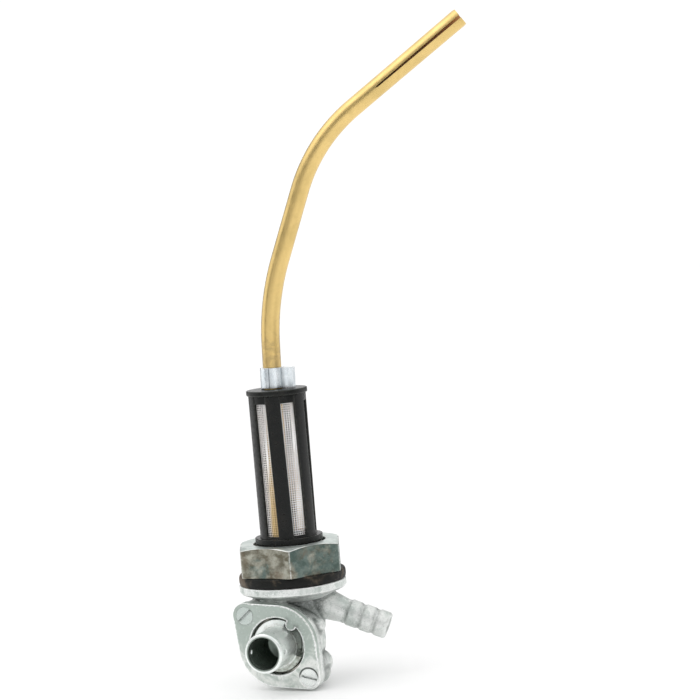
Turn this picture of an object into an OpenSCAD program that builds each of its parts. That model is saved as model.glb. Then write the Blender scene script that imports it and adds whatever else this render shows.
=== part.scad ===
// Fuel tap for a small tank: cast valve body, turning valve with a hollow stem, hose barb,
// tank nut with its gasket, plastic strainer and a bent brass standpipe.
// Origin: centre of the flange's top face. +Z runs up the strainer, the valve faces -Y
// and the hose barb points to +X. Millimetres.

/* [Tank joint] */
// Diameter of the flange that seats against the tank gasket
flange_d = 32.8; // [31:0.1:34]
// Thickness of the flange
flange_t = 2.8; // [2.4:0.1:3.4]
// Thickness of the tank gasket
gasket_t = 3.1; // [2.5:0.1:3.6]
// Size across the flats of the tank nut
nut_af = 30; // [29:0.5:31.5]
// Height of the tank nut
nut_h = 9.1; // [8:0.1:9.4]
// Outside diameter of the neck's thread
neck_d = 21.5; // [21.4:0.1:21.8]
// Pitch of the neck's thread
neck_pitch = 1.5; // [1:0.25:1.5]

/* [Valve] */
// Depth of the valve's axis under the flange's top face
valve_drop = 17; // [16.5:0.25:18]
// Outside radius of the valve chamber's housing
housing_r = 12; // [11.6:0.1:12.4]
// Radius of the valve chamber
chamber_r = 9.6; // [9.5:0.05:9.7]
// Distance from the neck's axis to the cover plate's front face
plate_front = 16.5; // [16:0.1:17.5]
// Thickness of the cover plate
plate_t = 2.5; // [2:0.1:3]
// Outside diameter of the hollow valve stem
stem_d = 11.9; // [11:0.1:12.1]
// Diameter of the bore in the valve stem
stem_bore_d = 9.6; // [9:0.1:10]
// Distance from the neck's axis to the stem's end
stem_reach = 27.1; // [24:0.1:30]
// Angle that the valve turns between its two stops
valve_turn = 64; // [50:1:70]

/* [Hose barb] */
// Angle of the barb below the horizontal
barb_slope = 22.4; // [12:0.1:26]
// Angle that the barb swings backwards, away from the stem
barb_swing = 10; // [0:0.5:15]
// Length of the barb, measured from the neck's axis
barb_l = 30.9; // [30:0.1:36]
// Diameter over the barb's ridges
barb_d = 8.3; // [7.6:0.1:8.6]
// Diameter of the barb's bore
barb_bore_d = 5.5; // [4.5:0.1:5.8]

/* [Strainer] */
// Diameter over the strainer's ribs
strainer_d = 17.6; // [16.8:0.1:17.8]
// Height of the strainer's top above the flange
strainer_top = 58.9; // [50:0.1:70]
// Number of windows round the strainer
windows = 6; // [4:1:8]
// Width of one window
window_w = 4.2; // [3:0.1:4.6]

/* [Standpipe] */
// Outside diameter of the brass standpipe
pipe_d = 5.6; // [5:0.1:5.8]
// Wall thickness of the standpipe
pipe_wall = 0.5; // [0.4:0.05:0.8]
// Lean of the standpipe's lower end away from the strainer's axis
pipe_lean = 1.8; // [0:0.1:2.5]
// Angle of the lower bend
bend_a = 19.1; // [5:0.1:30]
// Angle of the upper bend
bend_b = 33.9; // [10:0.1:60]
// Length of the straight between the bends
mid_l = 21.6; // [10:0.1:40]
// Length of the straight at the top
tip_l = 41.9; // [35:0.1:60]
// Angle that both bends are swung backwards about the pipe's lower straight
pipe_swing = 16; // [0:0.5:30]

/* [Hidden] */
$fn = 96;
eps = 0.01;
fit_gap = 0.02;

// Tank joint
flange_r = flange_d / 2;
flange_edge = 0.7;
neck_r = neck_d / 2;
neck_top = 11.8;
neck_core_r = neck_r - 0.8;
pocket_r = 7.9;
pocket_floor = -1.5;
pipe_socket_l = 3.3;
under_neck_r = 9;
under_flange_r = [10.6, 15.2];
under_flange_z = -5.1;
under_neck_z = -valve_drop + 2;
nut_bottom = gasket_t;
nut_top = nut_bottom + nut_h;
nut_corner_r = nut_af / 2 / cos(30);
nut_turned_r = nut_corner_r - 0.15;
nut_chamfer_h = 0.85;
nut_bore_r = neck_r + 0.05;
nut_clock = -8.6;
seal_t = 0.5;

// Valve: local X and Y of a part placed by on_valve() are the model's X and Z, local Z is -Y
axis_z = -valve_drop;
floor_y = -5;
plate_back = plate_front - plate_t;
housing_back_y = -3.2;
housing_back_r = 10.8;
packing_t = 2;
packing_front = packing_t - floor_y;
rotor_back = packing_front + 0.05;
disc_t = 4.15;
disc_front = rotor_back + disc_t;
disc_r = chamber_r - 0.06;
shoulder_r = 8;
shoulder_front = plate_front - 0.9;
stem_r = stem_d / 2;
stem_bore_r = stem_bore_d / 2;
stem_bore_l = 15;
pin_hole_r = 0.75;
pin_hole_y = 24.2;
opening_r = 8.7;
o_groove = [1.25, 3.05];
o_groove_r = 7.9;
o_ring_y = rotor_back + (o_groove[0] + o_groove[1]) / 2;
o_ring_r = 0.84;
o_ring_centre_r = chamber_r - fit_gap - o_ring_r;
stem_edge = 0.4;
stem_cone_l = 1.4;

// The stop tab on the plate runs in a slot in the rotor's shoulder
tab_angle = 52;
tab_w = 3.5;
tab_tip_r = 6.4;
slot_gap = 0.05;
slot_floor_r = tab_tip_r - 0.25;

// Ports through the packing: outlet at the centre, reserve and main each side of the top
port_circle_r = 5.2;
port_r = 1.15;
outlet_r = 1.5;
port_angles = [90 - valve_turn / 2, 90 + valve_turn / 2];
port_x = port_circle_r * sin(valve_turn / 2);
port_z = axis_z + port_circle_r * cos(valve_turn / 2);
riser_y = -1.6;
riser_r = 1.25;
pip_circle_r = 7.4;
pip_angles = [205, 335];
pip_r = 0.6;

// Passage from the outlet port up to the barb, drilled from below and plugged
passage_y = 1.7;
passage_r = 1.4;
passage_run = [8.5, 9.96];
passage_angle = atan2(passage_run[0], passage_run[1]);
passage_up = norm(passage_run);
passage_down = 8.5;
passage_boss_r = 2.8;
outlet_boss_r = 3.4;
plug_r = 1.8;
plug_l = 2.8;

// Cover plate outline: a round centre and two lobes at the screws
plate_r = 12.5;
lobe_r = [3.85, 3.65];
screw_at = [[-9.7, 9.35], [9.5, -9.5]];
screw_clocks = [40, -14];
screw_r = 1.48;
screw_head_r = 2.7;
screw_sunk = 0.05;
screw_depth = 8.3;
screw_hole_l = 5.9;
screw_slot_w = 0.65;
screw_slot_d = 0.8;
boss_depth = 7;
boss_r = 3.45;
ear_r = 3.8;
ear_y = -4;
ear_at = [[-8.9, 7.2], [8.9, -7.2]];
face_t = 2.2;
ejector_pad_r = 2.2;
ejector_pad_at = [housing_r - 1.4, -8.2, axis_z + 4.6];

// Hose barb
barb_root_z = -3.75;
barb_r = barb_d / 2;
barb_root_r = 5.1;
barb_end_edge = 0.5;
ridges = 3;
ridge_pitch = 4.55;
ridge_start = barb_l - ridges * ridge_pitch + 0.6;
groove_w = 0.7;
groove_depth = 0.35;

// Strainer
strainer_r = strainer_d / 2;
collar_r = 10.3;
collar_z = neck_top + seal_t;
collar_top = collar_z + 1.7;
cap_t = 1.6;
cap_r = strainer_r + 0.5;
frame_top = strainer_top - cap_t;
window_bottom = collar_top + 0.7;
window_top = frame_top - 2.4;
window_clock = -45;
cage_r = strainer_r - 0.25;
cage_in_r = strainer_r - 1.1;
rib_w = 2 * strainer_r * sin(180 / windows) - window_w - 0.2;
gauze_t = 0.2;

// Standpipe
pipe_r = pipe_d / 2;
pipe_foot = [-3, 0, -3.5];
foot_l = 76;
bend_a_r = 78;
bend_b_r = 50.6;
tip_slot_l = 32;
tip_slot_w = 0.8;
bush_r = pipe_r + 0.78;
clip_bottom = strainer_top + 0.35;
clip_h = 6.2;
clip_t = 0.9;
clip_tail = 4.25;
clip_seam_a = -84;
clip_seam_w = 0.35;
clip_seam_t = 0.45;

function dir(a) = [cos(a), sin(a)];
function pipe_x(z) = pipe_foot[0] + (z - pipe_foot[2]) * tan(pipe_lean);

// ---------- Helpers ----------

// Puts a part drawn along +Z on the valve's axis, with its foot at the given Y
module on_valve(y = 0) {
    translate([0, y, axis_z]) rotate([90, 0, 0]) children();
}

// Puts a part drawn along +Z on the barb's axis
module on_barb() {
    translate([0, 0, barb_root_z]) rotate([0, 90 + barb_slope, barb_swing]) children();
}

// Puts a part drawn along +Z on the outlet passage, from the outlet port towards the barb
module on_passage() {
    translate([0, passage_y, axis_z]) rotate([0, passage_angle, 0]) children();
}

// Puts a part drawn along +Z on the standpipe's lower straight, at the height z
module on_pipe(z) {
    translate([pipe_x(z), 0, z]) rotate([0, pipe_lean, 0]) children();
}

// Straight-sided lobe from the round centre to one screw, tangent to both circles
module lobe(at, r) {
    reach = norm(at);
    turn = acos((plate_r - r) / reach);
    toward = atan2(at[1], at[0]);
    polygon([plate_r * dir(toward + turn), [0, 0], plate_r * dir(toward - turn),
        at + r * dir(toward - turn), at + r * dir(toward + turn)]);
    translate(at) circle(r);
}

module plate_outline() {
    circle(plate_r);
    for (i = [0, 1]) lobe(screw_at[i], lobe_r[i]);
}

// A turned ring between two radii
module ring(r_out, r_in, h) {
    difference() {
        cylinder(r = r_out, h = h);
        translate([0, 0, -1]) cylinder(r = r_in, h = h + 2);
    }
}

// ---------- Valve body ----------

module flange_shape() {
    rotate_extrude() polygon([[0, -flange_t], [flange_r - flange_edge, -flange_t],
        [flange_r, -flange_t + flange_edge], [flange_r, -0.2], [flange_r - 0.2, 0], [0, 0]]);
}

// Neck with ring-shaped thread crests, one each pitch
module neck_shape() {
    crests = floor((neck_top - 1.5) / neck_pitch);
    rotate_extrude() polygon(concat([[0, -eps], [neck_core_r, -eps]],
        [for (i = [0 : crests - 1], k = [0 : 3])
            let (z = 1.5 + (i + [0, 0.35, 0.6, 0.95][k]) * neck_pitch)
            [[neck_core_r, neck_r, neck_r, neck_core_r][k], z]],
        [[neck_core_r, neck_top], [0, neck_top]]));
}

// Barb: a tapered root, then rounded ridges between narrow grooves
module barb_shape() {
    groove_r = barb_r - groove_depth;
    rotate_extrude() polygon(concat(
        [[0, 4], [barb_root_r, 4], [barb_root_r, 8], [barb_r + 0.1, ridge_start - 4]],
        [for (i = [0 : ridges - 1], k = [0 : 3])
            let (z = ridge_start + i * ridge_pitch + [-groove_w, 0, 0.5, ridge_pitch - groove_w - 0.5][k])
            [[groove_r, groove_r, barb_r, barb_r][k], z]],
        [[barb_r - barb_end_edge, barb_l], [0, barb_l]]));
}

module casting() {
    flange_shape();
    neck_shape();
    translate([0, 0, under_neck_z]) cylinder(r = under_neck_r, h = -under_neck_z - 1);
    translate([0, 0, under_flange_z])
        cylinder(r1 = under_flange_r[0], r2 = under_flange_r[1], h = -under_flange_z - flange_t + eps);
    on_valve(housing_back_y)
        cylinder(r1 = housing_back_r, r2 = housing_r, h = plate_back + housing_back_y - 1);
    on_valve(-plate_back + face_t) linear_extrude(face_t) plate_outline();
    for (at = screw_at) on_valve(-plate_back + boss_depth)
        translate(at) cylinder(r = boss_r, h = boss_depth - 1);
    for (at = ear_at) on_valve(ear_y) translate(at) cylinder(r = ear_r, h = plate_back + ear_y - 1);
    on_barb() barb_shape();
    on_valve(passage_y) cylinder(r = outlet_boss_r, h = passage_y - housing_back_y + 1);
    on_passage() translate([0, 0, -passage_down])
        cylinder(r = passage_boss_r, h = passage_down + passage_up - 1);
    translate(ejector_pad_at) sphere(ejector_pad_r);
}

module fuel_ways() {
    translate([0, 0, pocket_floor]) cylinder(r = pocket_r, h = 20);
    on_pipe(pocket_floor - pipe_socket_l) cylinder(r = pipe_r + fit_gap, h = pipe_socket_l + 1);
    for (side = [-1, 1]) {
        translate([side * port_x, riser_y, port_z - 0.6])
            cylinder(r = riser_r, h = pocket_floor - port_z + 1.6);
        translate([side * port_x, riser_y + 0.4, port_z]) rotate([90, 0, 0]) cylinder(r = port_r, h = 6);
    }
    on_valve(passage_y + 0.7) cylinder(r = outlet_r, h = 10);
    on_passage() {
        translate([0, 0, -passage_down + 1]) cylinder(r = passage_r, h = passage_down + passage_up - 1);
        translate([0, 0, -passage_down - 1]) cylinder(r = plug_r, h = plug_l + 1.2);
    }
    on_barb() translate([0, 0, 6.8]) cylinder(r = barb_bore_d / 2, h = barb_l);
}

module tap_body() {
    color([0.66, 0.69, 0.66]) {
        difference() {
            casting();
            on_valve(floor_y) cylinder(r = chamber_r, h = 20);
            for (at = screw_at) on_valve(-plate_back + screw_hole_l)
                translate(at) cylinder(r = screw_r + fit_gap, h = 20);
            fuel_ways();
        }
        for (a = pip_angles) on_valve(floor_y + eps)
            translate(pip_circle_r * dir(a)) cylinder(r = pip_r, h = 1.4);
    }
}

// Pressed plug that closes the drilled end of the outlet passage
module passage_plug() {
    color([0.78, 0.79, 0.8]) on_passage() translate([0, 0, -passage_down])
        rotate_extrude() polygon([[0, 0], [plug_r - 0.4, 0], [plug_r, 0.4], [plug_r, plug_l], [0, plug_l]]);
}

// ---------- Valve ----------

module valve_packing() {
    color([0.07, 0.07, 0.07]) on_valve(floor_y) difference() {
        cylinder(r = chamber_r - 0.05, h = packing_t);
        translate([0, 0, -1]) cylinder(r = outlet_r, h = 4);
        for (a = port_angles) translate(port_circle_r * dir(a)) translate([0, 0, -1])
            cylinder(r = port_r, h = 4);
        for (a = pip_angles) translate(pip_circle_r * dir(a)) translate([0, 0, -1])
            cylinder(r = pip_r + 0.05, h = 4);
    }
}

// Shoulder outline: full round less the slot that the stop tab runs in
module shoulder_outline() {
    slot_w = tab_w + 2 * slot_gap;
    difference() {
        circle(shoulder_r);
        for (a = [tab_angle, tab_angle - valve_turn]) rotate(a)
            translate([0, -slot_w / 2]) square([20, slot_w]);
        polygon([[0, 0], 20 * dir(tab_angle - valve_turn), 20 * dir(tab_angle - valve_turn / 2),
            20 * dir(tab_angle)]);
    }
    circle(slot_floor_r);
}

module valve_rotor() {
    color([0.68, 0.71, 0.68]) difference() {
        union() {
            on_valve(-rotor_back) rotate_extrude() polygon([[0, 0], [disc_r, 0], [disc_r, o_groove[0]],
                [o_groove_r, o_groove[0]], [o_groove_r, o_groove[1]], [disc_r, o_groove[1]],
                [disc_r, disc_t], [0, disc_t]]);
            on_valve(-disc_front + eps) linear_extrude(shoulder_front - disc_front + eps) shoulder_outline();
            on_valve(-disc_front) rotate_extrude() polygon([[0, 0], [stem_r, 0],
                [stem_r, stem_reach - disc_front - stem_edge], [stem_r - stem_edge, stem_reach - disc_front],
                [0, stem_reach - disc_front]]);
        }
        on_valve(-stem_reach + stem_bore_l) cylinder(r = stem_bore_r, h = stem_bore_l + 1);
        on_valve(-stem_reach + stem_bore_l + stem_cone_l)
            cylinder(r1 = 0, r2 = stem_bore_r, h = stem_cone_l + eps);
        translate([-20, -pin_hole_y, axis_z]) rotate([0, 90, 0]) cylinder(r = pin_hole_r, h = 40);
        // Groove in the valve face that joins one port to the outlet
        on_valve(-rotor_back + 1) rotate(port_angles[0]) {
            translate([0, -port_r, 0]) cube([port_circle_r, 2 * port_r, 2.5]);
            translate([port_circle_r, 0, 0]) cylinder(r = port_r, h = 2.5);
            cylinder(r = outlet_r, h = 2.5);
        }
    }
}

module rotor_o_ring() {
    color([0.05, 0.05, 0.05]) on_valve(-o_ring_y) rotate_extrude()
        translate([o_ring_centre_r, 0]) circle(o_ring_r, $fn = 48);
}

// Spring washer with three waves, between the rotor's disc and the cover plate
module wave_washer() {
    steps = 72;
    r_in = shoulder_r + 0.15;
    r_out = chamber_r - 0.3;
    sheet = 0.35;
    low = disc_front + 0.02;
    swing = plate_back - 0.05 - low - sheet;
    lift = function(i) low + swing * (0.5 - 0.5 * cos(3 * 360 * i / steps));
    points = [for (i = [0 : steps - 1]) let (d = dir(360 * i / steps), z = lift(i))
        each [[r_in * d[0], r_in * d[1], z], [r_out * d[0], r_out * d[1], z],
            [r_out * d[0], r_out * d[1], z + sheet], [r_in * d[0], r_in * d[1], z + sheet]]];
    faces = [for (i = [0 : steps - 1], k = [0 : 3])
        let (a = 4 * i, b = 4 * ((i + 1) % steps), n = (k + 1) % 4)
        each [[a + k, b + k, b + n], [a + k, b + n, a + n]]];
    color([0.45, 0.42, 0.37]) on_valve() polyhedron(points, faces);
}

module cover_plate() {
    play = 0.12;
    color([0.72, 0.75, 0.72]) on_valve(-plate_back) difference() {
        linear_extrude(plate_t) {
            difference() {
                plate_outline();
                circle(opening_r);
            }
            rotate(tab_angle) {
                translate([tab_tip_r + tab_w / 2, 0]) circle(tab_w / 2);
                translate([tab_tip_r + tab_w / 2, -tab_w / 2]) square([2, tab_w]);
            }
        }
        for (at = screw_at) translate(at) {
            translate([0, 0, -1]) cylinder(r = screw_r + play, h = plate_t + 2);
            translate([0, 0, plate_t - screw_head_r + screw_r])
                cylinder(r1 = screw_r + play, r2 = screw_head_r + play + eps,
                    h = screw_head_r - screw_r + eps);
        }
    }
}

module cover_screw(clock) {
    head_h = screw_head_r - screw_r;
    point = 0.4;
    difference() {
        rotate_extrude() polygon([[0, -screw_depth], [screw_r - point, -screw_depth],
            [screw_r, -screw_depth + point], [screw_r, -head_h - screw_sunk],
            [screw_head_r, -screw_sunk], [0, -screw_sunk]]);
        rotate(clock) translate([-4, -screw_slot_w / 2, -screw_slot_d]) cube([8, screw_slot_w, 2]);
    }
}

// Two countersunk screws that hold the cover plate
module cover_screws() {
    color([0.8, 0.82, 0.8]) for (i = [0, 1])
        on_valve(-plate_front) translate(screw_at[i]) cover_screw(screw_clocks[i]);
}

// ---------- Tank joint ----------

module tank_gasket() {
    color([0.08, 0.08, 0.08]) ring(flange_r, neck_r + 0.3, gasket_t);
}

module tank_nut() {
    color([0.55, 0.56, 0.5]) difference() {
        intersection() {
            translate([0, 0, nut_bottom]) rotate(nut_clock) cylinder(r = nut_corner_r, h = nut_h, $fn = 6);
            rotate_extrude() polygon([[0, nut_bottom], [nut_turned_r, nut_bottom],
                [nut_turned_r, nut_top - nut_chamfer_h], [nut_af / 2 + 0.2, nut_top], [0, nut_top]]);
        }
        translate([0, 0, nut_bottom - 1]) cylinder(r = nut_bore_r, h = nut_h + 2);
        translate([0, 0, nut_top - 0.5]) cylinder(r1 = nut_bore_r, r2 = nut_bore_r + 0.5, h = 0.5 + eps);
    }
}

module neck_seal() {
    color([0.12, 0.1, 0.08]) translate([0, 0, neck_top]) ring(neck_core_r, pocket_r + 0.1, seal_t);
}

// ---------- Strainer ----------

module strainer_frame() {
    spigot_foot = 4;
    color([0.04, 0.04, 0.04]) difference() {
        union() {
            translate([0, 0, spigot_foot])
                cylinder(r = pocket_r - fit_gap, h = collar_z - spigot_foot + eps);
            translate([0, 0, collar_z]) cylinder(r = collar_r, h = collar_top - collar_z);
            translate([0, 0, collar_z]) cylinder(r = cage_r, h = frame_top - collar_z);
            intersection() {
                translate([0, 0, collar_z]) cylinder(r = strainer_r, h = frame_top - collar_z);
                for (i = [0 : windows - 1]) rotate(window_clock + (i + 0.5) * 360 / windows)
                    translate([0, -rib_w / 2, collar_z]) cube([strainer_r + 1, rib_w, frame_top - collar_z]);
            }
        }
        translate([0, 0, spigot_foot - 1]) cylinder(r = pocket_r - 1, h = 60);
        translate([0, 0, collar_top - 0.2]) cylinder(r = cage_in_r, h = 60);
        for (i = [0 : windows - 1]) rotate(window_clock + i * 360 / windows)
            translate([4, -window_w / 2, window_bottom]) cube([8, window_w, window_top - window_bottom]);
    }
}

module strainer_gauze() {
    color([0.86, 0.85, 0.84]) translate([0, 0, collar_top - 0.2])
        ring(cage_in_r - fit_gap, cage_in_r - fit_gap - gauze_t, frame_top - 1.5 - collar_top);
}

module strainer_cap() {
    plug_depth = 1.6;
    edge = 0.2;
    color([0.05, 0.05, 0.05]) difference() {
        union() {
            translate([0, 0, frame_top]) rotate_extrude() polygon([[0, 0], [cap_r - edge, 0],
                [cap_r, edge], [cap_r, cap_t - edge], [cap_r - edge, cap_t], [0, cap_t]]);
            translate([0, 0, frame_top - plug_depth])
                cylinder(r = cage_in_r - fit_gap, h = plug_depth + eps);
        }
        on_pipe(frame_top - 4) cylinder(r = bush_r + fit_gap, h = 8);
    }
}

// Soft bush that centres the standpipe in the strainer's cap
module pipe_bush() {
    below = 2;
    color([0.06, 0.06, 0.06]) on_pipe(frame_top - below) ring(bush_r, pipe_r + fit_gap, cap_t + below);
}

// ---------- Standpipe ----------

// Strip clip wrapped round the pipe, with a creased seam in front and its ends pinched into a tail
module pipe_clip() {
    gap = 0.15;
    color([0.8, 0.83, 0.86]) on_pipe(clip_bottom) difference() {
        union() {
            cylinder(r = pipe_r + clip_t, h = clip_h);
            translate([0, -clip_t - gap / 2, 0]) cube([pipe_r + clip_tail, 2 * clip_t + gap, clip_h]);
        }
        translate([0, 0, -1]) cylinder(r = pipe_r + fit_gap, h = clip_h + 2);
        translate([0, -gap / 2, -1]) cube([20, gap, clip_h + 2]);
        rotate(clip_seam_a) translate([pipe_r + clip_t - clip_seam_t, -clip_seam_w / 2, -1])
            cube([2, clip_seam_w, clip_h + 2]);
    }
}

// Bent stretch that starts at the origin along +Z and curves to +X
module bend(r, turn, bar_r) {
    translate([r, 0, 0]) rotate([90, 180, 0]) mirror([0, 1, 0])
        rotate_extrude(angle = turn) translate([r, 0]) circle(bar_r);
}

// Places children at the end of such a bend
module past_bend(r, turn) {
    translate([r, 0, 0]) rotate([0, turn, 0]) translate([-r, 0, 0]) children();
}

// Places children at the top of the lower straight, with +X on the side that the pipe bends to
module on_foot_top() {
    translate(pipe_foot) rotate([0, pipe_lean, 0]) rotate([0, 0, pipe_swing])
        translate([0, 0, foot_l]) children();
}

// Places children at the start of the straight between the bends
module on_mid() {
    on_foot_top() past_bend(bend_a_r, bend_a) children();
}

// Places children at the start of the straight at the top
module on_tip() {
    on_mid() translate([0, 0, mid_l]) past_bend(bend_b_r, bend_b) children();
}

// Round bar along the standpipe's route. The straights lap a little over the bends, which are
// a hair slimmer, and over lengthens both ends.
module pipe_bar(bar_r, over) {
    lap = 0.2;
    bent_r = bar_r - 0.03;
    on_foot_top() {
        translate([0, 0, -foot_l - over]) cylinder(r = bar_r, h = foot_l + over + lap);
        bend(bend_a_r, bend_a, bent_r);
    }
    on_mid() {
        translate([0, 0, -lap]) cylinder(r = bar_r, h = mid_l + 2 * lap);
        translate([0, 0, mid_l]) bend(bend_b_r, bend_b, bent_r);
    }
    on_tip() translate([0, 0, -lap]) cylinder(r = bar_r, h = tip_l + lap + over);
}

module standpipe() {
    color([0.8, 0.6, 0.25]) difference() {
        pipe_bar(pipe_r, 0);
        pipe_bar(pipe_r - pipe_wall, 1);
        // Narrow slot sawn along the tip's near side
        on_tip() translate([-tip_slot_w / 2, -2 * pipe_r, tip_l - tip_slot_l])
            cube([tip_slot_w, 2 * pipe_r, tip_slot_l + 1]);
    }
}

tap_body();
passage_plug();
valve_packing();
valve_rotor();
rotor_o_ring();
wave_washer();
cover_plate();
cover_screws();
tank_gasket();
tank_nut();
neck_seal();
strainer_frame();
strainer_gauze();
strainer_cap();
pipe_bush();
pipe_clip();
standpipe();
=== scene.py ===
import math

import bmesh
import bpy
from mathutils import Matrix, Vector, kdtree, noise


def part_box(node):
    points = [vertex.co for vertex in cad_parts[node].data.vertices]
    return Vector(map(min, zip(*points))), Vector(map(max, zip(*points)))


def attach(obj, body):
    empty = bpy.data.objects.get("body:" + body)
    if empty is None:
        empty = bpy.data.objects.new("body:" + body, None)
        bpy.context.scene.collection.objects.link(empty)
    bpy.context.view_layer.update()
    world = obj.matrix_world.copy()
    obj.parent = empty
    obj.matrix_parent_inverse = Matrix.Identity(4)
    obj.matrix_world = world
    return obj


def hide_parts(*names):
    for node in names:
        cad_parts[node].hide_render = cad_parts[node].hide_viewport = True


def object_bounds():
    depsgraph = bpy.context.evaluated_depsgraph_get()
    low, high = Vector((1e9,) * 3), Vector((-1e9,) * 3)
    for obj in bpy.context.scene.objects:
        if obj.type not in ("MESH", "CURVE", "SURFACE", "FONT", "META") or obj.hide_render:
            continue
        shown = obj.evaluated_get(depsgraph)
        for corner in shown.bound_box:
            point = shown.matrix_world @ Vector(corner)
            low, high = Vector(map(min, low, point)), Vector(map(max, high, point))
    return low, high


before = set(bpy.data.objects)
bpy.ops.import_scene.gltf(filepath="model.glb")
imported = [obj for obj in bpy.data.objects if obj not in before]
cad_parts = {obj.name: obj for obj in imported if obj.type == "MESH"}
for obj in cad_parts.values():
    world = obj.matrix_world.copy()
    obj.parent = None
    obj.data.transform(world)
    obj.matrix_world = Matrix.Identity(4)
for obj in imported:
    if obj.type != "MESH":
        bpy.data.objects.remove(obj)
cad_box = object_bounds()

# Lengths are in millimetres and MM turns them to metres; only the stage is laid out in metres. The frame
# is the CAD's: +Z up the strainer, -Y along the valve stem, +X to the hose barb.
MM = 0.001


# ---------- Mesh helpers ----------

# Vertices nearer than WELD are joined (metres), and edges sharper than SHARP carry marks (radians)
WELD = 1e-7
WELD_CAD = 2e-6
SHARP = 0.45

# How far rubbed edges with painted highlight reach from a standing edge, and painted shade with stain from
# an inner corner
WEAR_AND_HIGHLIGHT_REACH = 0.45
CORNER_SHADE_REACH = 1.9

# Size of a cast skin's bumps, and how far it sinks on average as a share of their depth, which keeps the
# skin inside the shape that it starts from
CAST_BUMP = 1.3
CAST_SINK = 0.4

# The most of a side that one rounded corner may take
CORNER_SHARE = 0.45


def ramp(value, start, end):
    """How far a value has come from one number to another, from 0 to 1."""
    return min(1.0, max(0.0, (value - start) / (end - start)))


def on_circle(radius, angle, height):
    """A point in metres on a level circle about Z, from sizes in millimetres."""
    return Vector((radius * MM * math.cos(angle), radius * MM * math.sin(angle), height * MM))


def to_object(name, data):
    """Link a mesh, a camera or a light to the scene as an object."""
    obj = bpy.data.objects.new(name, data)
    bpy.context.scene.collection.objects.link(obj)
    return obj


def bmesh_object(name, bm, smooth=True):
    """Turn a bmesh into an object with welded vertices and outward faces."""
    bmesh.ops.remove_doubles(bm, verts=bm.verts, dist=WELD)
    bmesh.ops.recalc_face_normals(bm, faces=bm.faces)
    for face in bm.faces:
        face.smooth = smooth
    mesh = bpy.data.meshes.new(name)
    bm.to_mesh(mesh)
    bm.free()
    return to_object(name, mesh)


def join_rings(bm, rings, closed=True):
    """Fill the bands between neighbouring rings, and from the last to the first if closed."""
    for here, there in zip(rings, rings[1:] + (rings[:1] if closed else [])):
        for k in range(len(here)):
            n = (k + 1) % len(here)
            bm.faces.new((here[k], here[n], there[n], there[k]))


def add_modifier(obj, kind, **values):
    """Add one modifier with its settings."""
    modifier = obj.modifiers.new(kind.title(), kind)
    for key, value in values.items():
        setattr(modifier, key, value)
    return modifier


def bake_modifiers(obj):
    """Replace an object's mesh by what its modifiers make of it."""
    graph = bpy.context.evaluated_depsgraph_get()
    made = bpy.data.meshes.new_from_object(obj.evaluated_get(graph))
    old = obj.data
    obj.modifiers.clear()
    obj.data = made
    made.name = obj.name
    bpy.data.meshes.remove(old)


def store_mark(obj, name, values):
    """Store one number for each point of a piece, for its material to read."""
    obj.data.attributes.new(name, "FLOAT", "POINT").data.foreach_set("value", values)


def fade_mark(obj, name, share, where):
    """Weaken a stored mark where a test on the point (in millimetres) says so."""
    for v, mark in zip(obj.data.vertices, obj.data.attributes[name].data):
        if where(v.co / MM):
            mark.value *= share


def edge_points(node, step=0.25):
    """Points along a CAD node's sharp edges: those that stand out, and those in its corners."""
    bm = bmesh.new()
    bm.from_mesh(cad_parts[node].data)
    bmesh.ops.remove_doubles(bm, verts=bm.verts, dist=WELD_CAD)
    standing, sunken = [], []
    for edge in bm.edges:
        if len(edge.link_faces) != 2:
            continue
        angle = edge.calc_face_angle_signed(0.0)
        if abs(angle) < SHARP:
            continue
        a, b = (v.co.copy() for v in edge.verts)
        count = max(1, round((b - a).length / MM / step))
        along = [a.lerp(b, i / count) for i in range(count + 1)]
        (standing if angle > 0 else sunken).extend(along)
    bm.free()
    return standing, sunken


def mark_edges(obj, node, wear_and_highlight_to):
    """Store each point's nearness to a standing edge (rubbing with painted highlight) and to an inner corner
    (painted shade with stain).
    """
    for name, points, reach in zip(("wear_and_highlight", "corner_shade_and_grime"), edge_points(node), (wear_and_highlight_to, CORNER_SHADE_REACH)):
        tree = kdtree.KDTree(len(points))
        for i, point in enumerate(points):
            tree.insert(point, i)
        tree.balance()
        if points:
            store_mark(obj, name, [ramp(tree.find(v.co)[2] / MM, reach, 0.0) for v in obj.data.vertices])
        else:
            obj.data.attributes.new(name, "FLOAT", "POINT")


def roughen(obj, depth):
    """Push a casting's skin in and out by noise, as a worn die leaves it."""
    normals = [v.normal.copy() for v in obj.data.vertices]
    for v, n in zip(obj.data.vertices, normals):
        v.co += n * (noise.noise(v.co / MM / CAST_BUMP) - CAST_SINK) * depth * MM


def softened(node, name, voxel, rounds, keep, where=None, more=0, cast=0.0, wear_and_highlight_to=WEAR_AND_HIGHLIGHT_REACH):
    """Copy a CAD node's shape as one skin with its edges rounded, as cast or dressed metal is: voxel is
    the skin's fineness, rounds how much it is smoothed, keep the share of its faces that stays, and cast
    the depth of its bumps. A test on the point (in millimetres) can ask for more rounding."""
    obj = to_object(name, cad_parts[node].data.copy())
    obj.data.materials.clear()
    add_modifier(obj, "REMESH", mode="VOXEL", voxel_size=voxel * MM, use_smooth_shade=True)
    bake_modifiers(obj)
    if where is not None:
        group = obj.vertex_groups.new(name="rounder")
        group.add([v.index for v in obj.data.vertices if where(v.co / MM)], 1.0, "REPLACE")
        add_modifier(obj, "SMOOTH", factor=0.5, iterations=more, vertex_group="rounder")
    add_modifier(obj, "SMOOTH", factor=0.5, iterations=rounds)
    if keep < 1:
        add_modifier(obj, "DECIMATE", ratio=keep)
    bake_modifiers(obj)
    obj.vertex_groups.clear()
    mark_edges(obj, node, wear_and_highlight_to)
    if cast:
        roughen(obj, cast)
    obj.data.shade_smooth()
    return obj


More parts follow.
